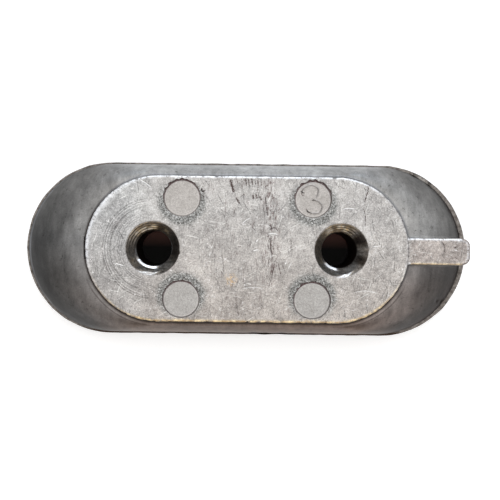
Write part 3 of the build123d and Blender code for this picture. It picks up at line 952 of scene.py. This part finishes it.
# Pad: rubbed metal with cloudy patches, drag streaks, dark pits, crossing hairlines and
# sparkle. Cutter swirls lie round the plain-side hole.
patches = reshape(grain(0.17, 5, 0.62), 0.32, 0.68)
crumbs = reshape(grain(2.6, 6, 0.95), 0.38, 0.62)
pits = reshape(grain(2.2, 5, 0.85), 0.6, 0.66)
hole_reach = distance_from(-HOLE_X, 0)
cutter = {"W": hole_reach, "Scale": 2.4, "Detail": 3.0}
swirls = reshape(node("TexNoise", cutter, noise_dimensions="1D").outputs["Fac"], 0.35, 0.65)
swirl_share = within((hole_reach, 6.4, 7.5), (hole_reach, 11.6, 10.8), (along_x, -19.8, -24.8, 0, 0.8))
streaky = within((along_x, 15, 3), (along_x, -16, -2))
drag = reshape(grain(0.7, 4, 0.7, (2.4, 0.45, 1)), 0.55, 0.68)
scuff_reach = calc("ABSOLUTE", calc("SUBTRACT", along_x, 5.3))
scuffs = grain(1.5, 4, 0.75, (1.6, 0.6, 1))
pad = coated(
    blend_colour(patches, (0.42, 0.405, 0.395), (0.56, 0.545, 0.53)),
    # Warmer and duller towards -Y, cooler at -X, lighter by the tab, and duller on it.
    (reshape(across_y, 8, -14), (0.925, 0.88, 0.845), "MULTIPLY"),
    (reshape(along_x, -18, -26), (0.97, 1.0, 1.03), "MULTIPLY"),
    (within((along_x, -21, -26), (across_y, 8, 1)), 0.91, "MULTIPLY"),
    (within((along_x, 20, 26), (along_x, 35.5, 35)), 1.07, "MULTIPLY"),
    (within((along_x, -18, -24), (across_y, 4, 10)), (1.09, 1.09, 1.08), "MULTIPLY"),
    (reshape(along_x, 35.5, 36.5), (0.94, 0.89, 0.87), "MULTIPLY"),
    # Mottle, crumbs of light and dark, and the swirls.
    (0.34, blend_colour(reshape(grain(0.75, 5, 0.72), 0.34, 0.66), 0.2, 0.8), "OVERLAY"),
    (0.62, blend_colour(crumbs, 0.1, 0.88), "OVERLAY"),
    (swirl_share, blend_colour(swirls, 0.2, 0.66), "OVERLAY"),
    # Drag streaks in the middle, a scuffed strip, grime, a gilt spot, pits and sparkle.
    (times(drag, reshape(streaky, 0, 1, 0.2, 0.7)), (0.2, 0.165, 0.155)),
    (within((scuff_reach, 2.8, 0.8), (across_y, -9.5, -7.5), (scuffs, 0.52, 0.6, 0, 0.85)), (0.16, 0.115, 0.11)),
    (within((grain(1.5, 4, 0.75), 0.58, 0.66), (grain(0.16, 3), 0.42, 0.58, 0.25, 0.9)), (0.17, 0.13, 0.125)),
    (within((distance_from(-3.5, -6.7), 1.8, 0.6), (grain(1.6, 3), 0.45, 0.6, 0, 0.6)), (0.75, 0.52, 0.28)),
    (times(pits, 0.55), (0.13, 0.105, 0.1)),
    (reshape(grain(1.5, 4, 0.8), 0.605, 0.66, 0, 0.8), 0.97),
)
# Hairlines: the direction each set lies across, its grey, and how strong it is.
hairs = (
    (0.15, 0.92, 0.6), (1.0, 0.1, 0.7), (1.9, 0.95, 0.5), (1.42, 0.1, 0.75), (2.6, 0.92, 0.55), (1.7, 0.12, 0.7),
    (0.5, 0.12, 0.55), (2.2, 0.12, 0.5),
)
for turn, tone, much in hairs:
    hair = grain(0.8, 2, 0.5, (0.25, 5.0, 1), 0.5, turn)
    pad = blend_colour(reshape(hair, 0.665, 0.72, 0, much), pad, (tone, tone, 0.97 * tone))
crust = reshape(grain(2.6, 3, 0.75), 0.4, 0.6)
crusted = coated(
    blend_colour(crust, (0.1, 0.098, 0.09), (0.5, 0.5, 0.485)),
    (reshape(grain(1.8, 3, 0.75), 0.57, 0.63), (0.85, 0.85, 0.84)),
)
edge_side = blend_value(reshape(along_x, 36, 36.2), reshape(across_y, -13, -2), reshape(across_y, -2.8, -2))
warm_edge_reflection = blend_colour(reshape(grain(1.1, 3), 0.4, 0.6), (0.5, 0.34, 0.17), (1.0, 0.8, 0.46))
crumbled = reshape(grain(1.5, 4, 0.8), 0.37, 0.51)
pad = coated(
    pad,
    # Rough rings round the pin marks, the cut and bright marks, and the nicked edge with its painted highlight: cool
    # white at +Y and a painted warm reflection at -Y.
    (reshape(ring_mask, 0.04, 0.6, 0, 0.88), crusted),
    (dark_marks_and_shade, (0.085, 0.06, 0.055)),
    (bright_mark, 0.95),
    (times(edge_highlight_mask, reshape(crumbled, 0, 1, 0.55, 0)), (0.15, 0.135, 0.14)),
    (times(edge_highlight_mask, crumbled), blend_colour(edge_side, warm_edge_reflection, (0.92, 0.95, 1.0))),
)

# Pin marks: smoother and duller than the pad, with the groove's painted shadow and painted highlight.
# The 3 shows by its shaded lower side and by painted shade along its bead.
disc = coated(
    blend_colour(reshape(grain(0.4, 4, 0.6), 0.3, 0.7), (0.365, 0.344, 0.326), (0.455, 0.432, 0.414)),
    (0.44, blend_colour(crumbs, 0.12, 0.85), "OVERLAY"),
    (reshape(across_y, 2, -2), (0.945, 0.965, 0.975), "MULTIPLY"),
    (reshape(grain(2.2, 4, 0.7), 0.58, 0.7, 0, 0.4), (0.75, 0.73, 0.7)),
    (times(dark_mark, reshape(torn, 0, 1, 0.65, 1)), (0.06, 0.028, 0.03)),
    (bright_mark, (0.72, 0.7, 0.68)),
)

# Cones: flats from dark to light, a painted warm reflection, and bright patches of painted highlight.
cone = coated(
    blend_colour(flat_tone, (0.08, 0.072, 0.066), (0.6, 0.57, 0.54)),
    (
        times(cone_warm_reflection, reshape(grain(1.0, 4, 0.65), 0.38, 0.62, 0.4, 1.0)),
        blend_colour(flat_tone, (0.09, 0.05, 0.035), (0.95, 0.72, 0.4)),
    ),
    (times(cone_highlight_mask, reshape(grain(1.4, 4, 0.7), 0.36, 0.56, 0.55, 1)), (0.9, 0.94, 1.0)),
    (0.7, blend_colour(reshape(grain(1.9, 5, 0.8), 0.36, 0.64), 0.12, 0.88), "OVERLAY"),
)
# The bore walls are painted near-black: painted shade deep in the hole.
BORE_SHADE_TONE = (0.03, 0.02, 0.017)
shade = coated(skin, (pad_mask, pad), (disc_mask, disc), (cone_mask, cone), (bore_mask, BORE_SHADE_TONE))

rough = blend_value(pad_mask, reshape(clouds, 0, 1, 0.44, 0.52), reshape(patches, 0, 1, 0.56, 0.42))
for share, value in ((disc_mask, 0.46), (scar_mask, 0.55), (cone_mask, 0.3), (edge_highlight_mask, 0.35)):
    rough = blend_value(share, rough, value)

# Relief: fine grain, strongest on the pad, with crusted rings and sunken pits.
relief = times(grain(2.0, 5, 0.7), within((pad_mask, 0, 1, 0.3, 1), (disc_mask, 0, 1, 1, 0.4)))
relief = calc("ADD", relief, times(crust, ring_mask, 1.2))
relief = calc("SUBTRACT", relief, times(pits, pad_mask, 0.5))
bump = node("Bump", {"Strength": 0.8, "Distance": 0.00008, "Height": relief})
metallic = blend_value(cone_mask, 1.0, 0.85)
feeds = {"Base Color": shade, "Metallic": metallic, "Roughness": rough, "Normal": bump.outputs[0]}
node("OutputMaterial", {"Surface": node("BsdfPrincipled", feeds).outputs[0]})
casting_mesh.materials.append(metal)

# ------------------------------------------------------------
# Stage: a pale table top that curves up far out, so that no horizon shows, with a patch
# of painted shade where the block covers it. Soft studio light: a wide box overhead and a cool
# window at +Y, in a room that is cool towards the window and warm behind.
FLOOR_REACH, FLOOR_RISE, FLOOR_FLAT, FLOOR_SIDES = 4.6, 0.58, 0.9, 96
FLOOR_SINK = 0.00002
floor_round = np.linspace(0, 2 * np.pi, FLOOR_SIDES, endpoint=False)
floor_rings = np.concatenate([[0.3], np.linspace(FLOOR_FLAT, FLOOR_REACH, 15)])


def floor_points():
    """Rings of a shallow bowl: flat in the middle, then rising by the square of the way out."""
    up = FLOOR_RISE * ((floor_rings - FLOOR_FLAT).clip(0) / (FLOOR_REACH - FLOOR_FLAT)) ** 2 - FLOOR_SINK
    across = np.outer(floor_rings, np.cos(floor_round)), np.outer(floor_rings, np.sin(floor_round))
    return np.stack([*across, np.outer(up, np.ones(FLOOR_SIDES))], axis=-1).reshape(-1, 3)


near = np.arange(FLOOR_SIDES * (len(floor_rings) - 1))
beside = near - near % FLOOR_SIDES + (near + 1) % FLOOR_SIDES
floor_faces = np.column_stack([near, near + FLOOR_SIDES, beside + FLOOR_SIDES, beside])
floor_mesh = bpy.data.meshes.new("floor")
floor_mesh.from_pydata(floor_points().tolist(), [], [tuple(range(FLOOR_SIDES)), *floor_faces.tolist()])
floor_mesh.shade_smooth()
floor = put_in_scene("floor", floor_mesh)

# The paper carries a painted dark and warm shadow inside a slot under the block, and is white to every eye elsewhere.
SHADE_HALF_RUN, SHADE_RADIUS, GLOW = 0.031, 0.0155, 0.4
paper = bpy.data.materials.new("pale_floor")
paper.use_nodes = True
tree = paper.node_tree
tree.nodes.clear()
floor_x, floor_y, _ = node("SeparateXYZ", {0: node("TexCoord").outputs["Object"]}).outputs
beyond = calc("MAXIMUM", calc("SUBTRACT", calc("ABSOLUTE", floor_x), SHADE_HALF_RUN), 0.0)
squared = calc("ADD", times(beyond, beyond), times(floor_y, floor_y))
outside = calc("GREATER_THAN", squared, SHADE_RADIUS**2)
shadow_under_block = blend_colour(reshape(floor_y, 0.0002, 0.00306), (0.005, 0.004, 0.0035), (0.13, 0.06, 0.048))
path = node("LightPath").outputs
seen = calc("ADD", path["Is Glossy Ray"], path["Is Transmission Ray"])
seen = calc("MINIMUM", calc("ADD", path["Is Camera Ray"], seen), 1.0)
feeds = {"Base Color": blend_colour(outside, shadow_under_block, 0.9), "Roughness": 0.9}
feeds.update({"Emission Color": solid(1.0), "Emission Strength": times(seen, outside, GLOW)})
node("OutputMaterial", {"Surface": node("BsdfPrincipled", feeds).outputs[0]})
floor_mesh.materials.append(paper)


def soft_light(name, place, wide, tall, radiance, tint):
    """A flat softbox at `place`, turned to the origin, as bright as `radiance` over its whole face."""
    lamp = bpy.data.lights.new(name, "AREA")
    lamp.shape = "RECTANGLE"
    lamp.size, lamp.size_y = wide, tall
    lamp.energy = radiance * math.pi * wide * tall
    lamp.color = tint
    holder = put_in_scene(name, lamp)
    holder.location = place
    holder.rotation_euler = (-Vector(place)).to_track_quat("-Z", "Y").to_euler()


soft_light("overhead", (0.0, 0.05, 0.8), 0.9, 0.9, 1.02, (1.0, 0.99, 0.97))
soft_light("window", (0.1, 0.78, 0.5), 0.7, 0.3, 3.0, (0.88, 0.94, 1.0))

# The room's own light: cool and bright from the window side, dim and warm behind.
TOWARDS_WINDOW = (0.35, 0.94, 0.0)
world = bpy.data.worlds.new("studio")
world.use_nodes = True
tree = world.node_tree
feeds = {0: node("TexCoord").outputs["Generated"], 1: TOWARDS_WINDOW}
towards = node("VectorMath", feeds, operation="DOT_PRODUCT").outputs["Value"]
room = ramp_of(
    reshape(towards, -0.7, 0.7), (0.0, (0.5, 0.475, 0.45)), (0.5, (0.52, 0.52, 0.525)), (1.0, (0.76, 0.78, 0.805)),
    ease=True,
)
tree.links.new(room, tree.nodes["Background"].inputs[0])
bpy.context.scene.world = world
bpy.context.scene.view_settings.view_transform = "Standard"
